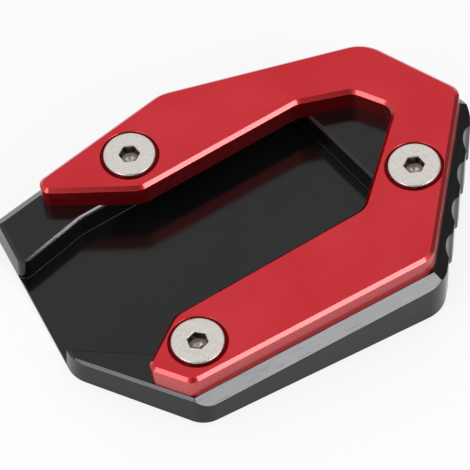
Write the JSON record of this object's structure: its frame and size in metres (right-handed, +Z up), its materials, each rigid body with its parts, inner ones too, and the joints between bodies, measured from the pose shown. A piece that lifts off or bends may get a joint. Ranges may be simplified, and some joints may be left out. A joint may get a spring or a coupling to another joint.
{
  "type": "kickstand foot enlarger",
  "caption": "Enlarger plate that clamps round the foot of a kickstand and spreads its load on soft ground, with a pitched base, a foot pocket and a U-shaped clamp plate.",
  "frame": {"origin": "on the ground, under the middle of the base plate's bounding box", "axes": "+X from the pocket's open end to its closed end, +Y to the back arm of the clamp plate, +Z up"},
  "size_m": [0.109, 0.0777, 0.0203],
  "materials": {
    "black_anodised": "milled, then anodised glossy black",
    "red_anodised": "bead-blasted, then anodised red, with bright cut chamfers",
    "stainless": "turned stainless steel"
  },
  "bodies": {
    "root": {"base_plate": "black_anodised", "clamp_plate": "red_anodised", "clamp_screw_back": "stainless", "clamp_screw_right": "stainless", "clamp_screw_front": "stainless"}
  },
  "joints": []
}
